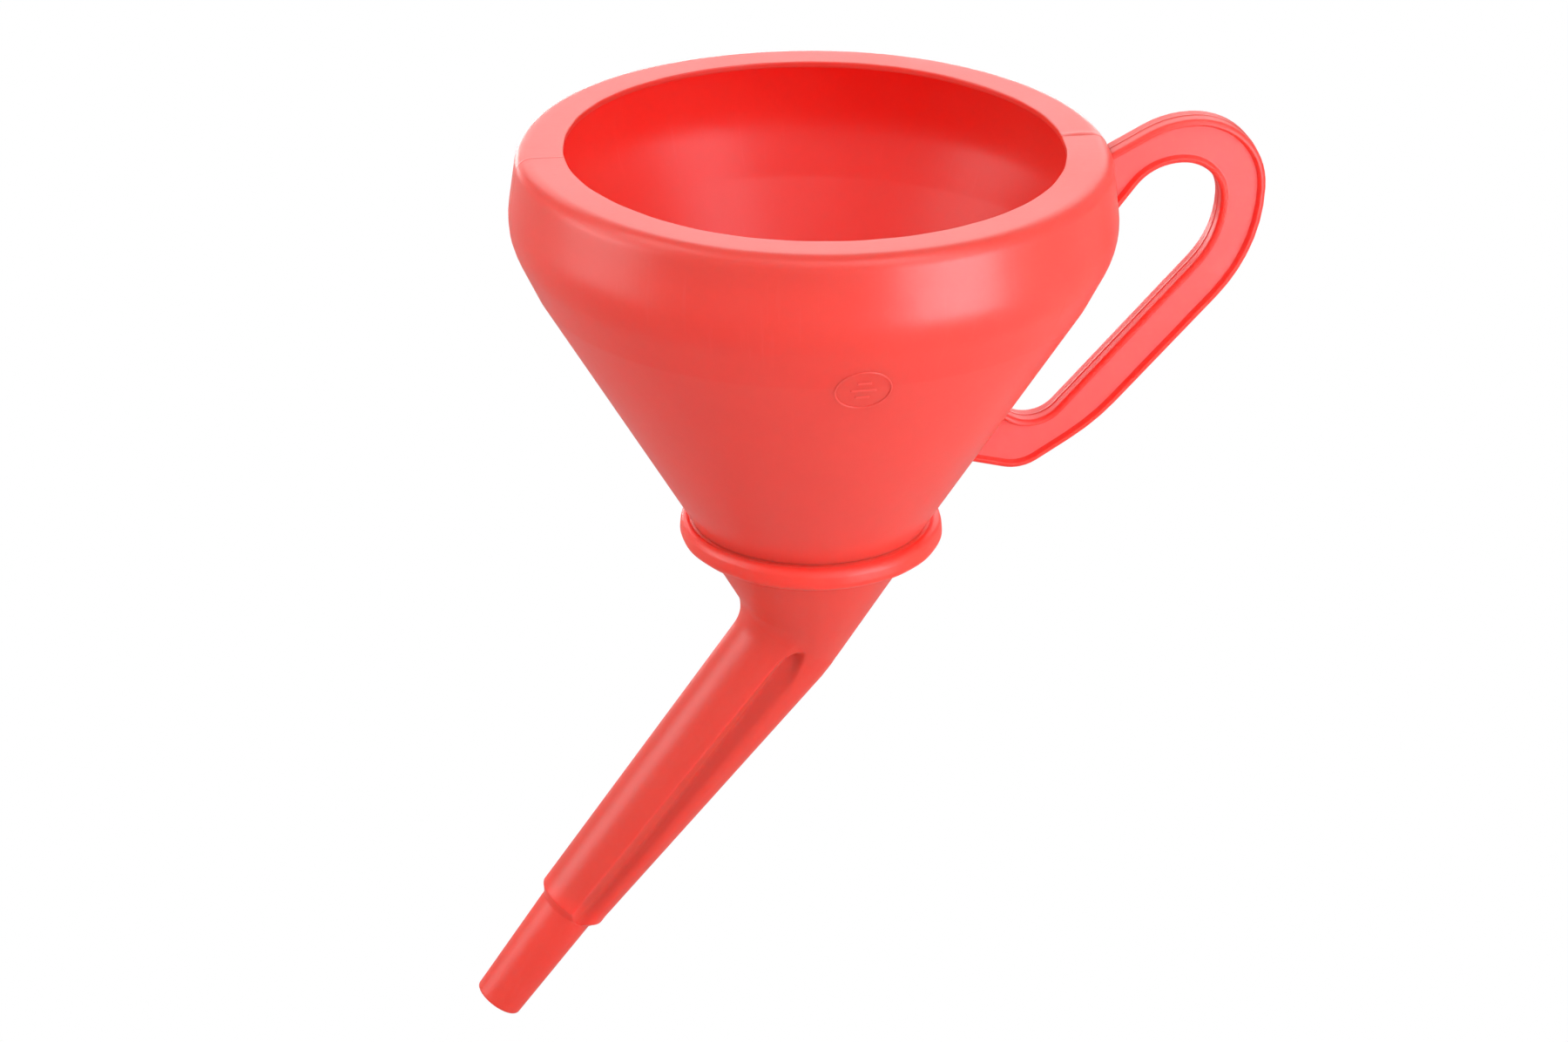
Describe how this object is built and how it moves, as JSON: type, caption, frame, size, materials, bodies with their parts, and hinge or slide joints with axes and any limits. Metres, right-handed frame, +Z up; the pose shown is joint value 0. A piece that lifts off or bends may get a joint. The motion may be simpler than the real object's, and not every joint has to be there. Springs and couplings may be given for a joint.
{
  "type": "pouring funnel",
  "caption": "Round splash-rim funnel bowl with a loop handle, over a detachable leaning spout with vent grooves and a plain tip; a strainer sits in the joint.",
  "frame": {"origin": "centre of the spout's open end", "axes": "+Z up along the bowl's axis; +X from the spout's end towards the bowl and its handle; Y across, the mirror plane is Y = 0"},
  "size_m": [0.2112, 0.1586, 0.2583],
  "materials": {
    "bowl_plastic": "semi-gloss moulded polyethylene",
    "handle_plastic": "semi-gloss moulded polyethylene",
    "spout_plastic": "semi-gloss moulded polyethylene",
    "strainer_ring": "pressed, satin",
    "strainer_gauze": "woven wire"
  },
  "bodies": {
    "spout": {"spout": "spout_plastic"},
    "strainer": {"strainer_ring": "strainer_ring", "strainer_gauze": "strainer_gauze"},
    "bowl": {"bowl": "bowl_plastic", "handle": "handle_plastic"}
  },
  "joints": [
    {"name": "bowl_turn", "type": "hinge", "parent": "spout", "child": "strainer", "pos_m": [0.086, 0, 0.1285], "axis": [0, 0, 1], "continuous": true},
    {"name": "bowl_lift_off", "type": "slide", "parent": "strainer", "child": "bowl", "axis": [0, 0, 1], "range_m": [0, 0.07]}
  ]
}
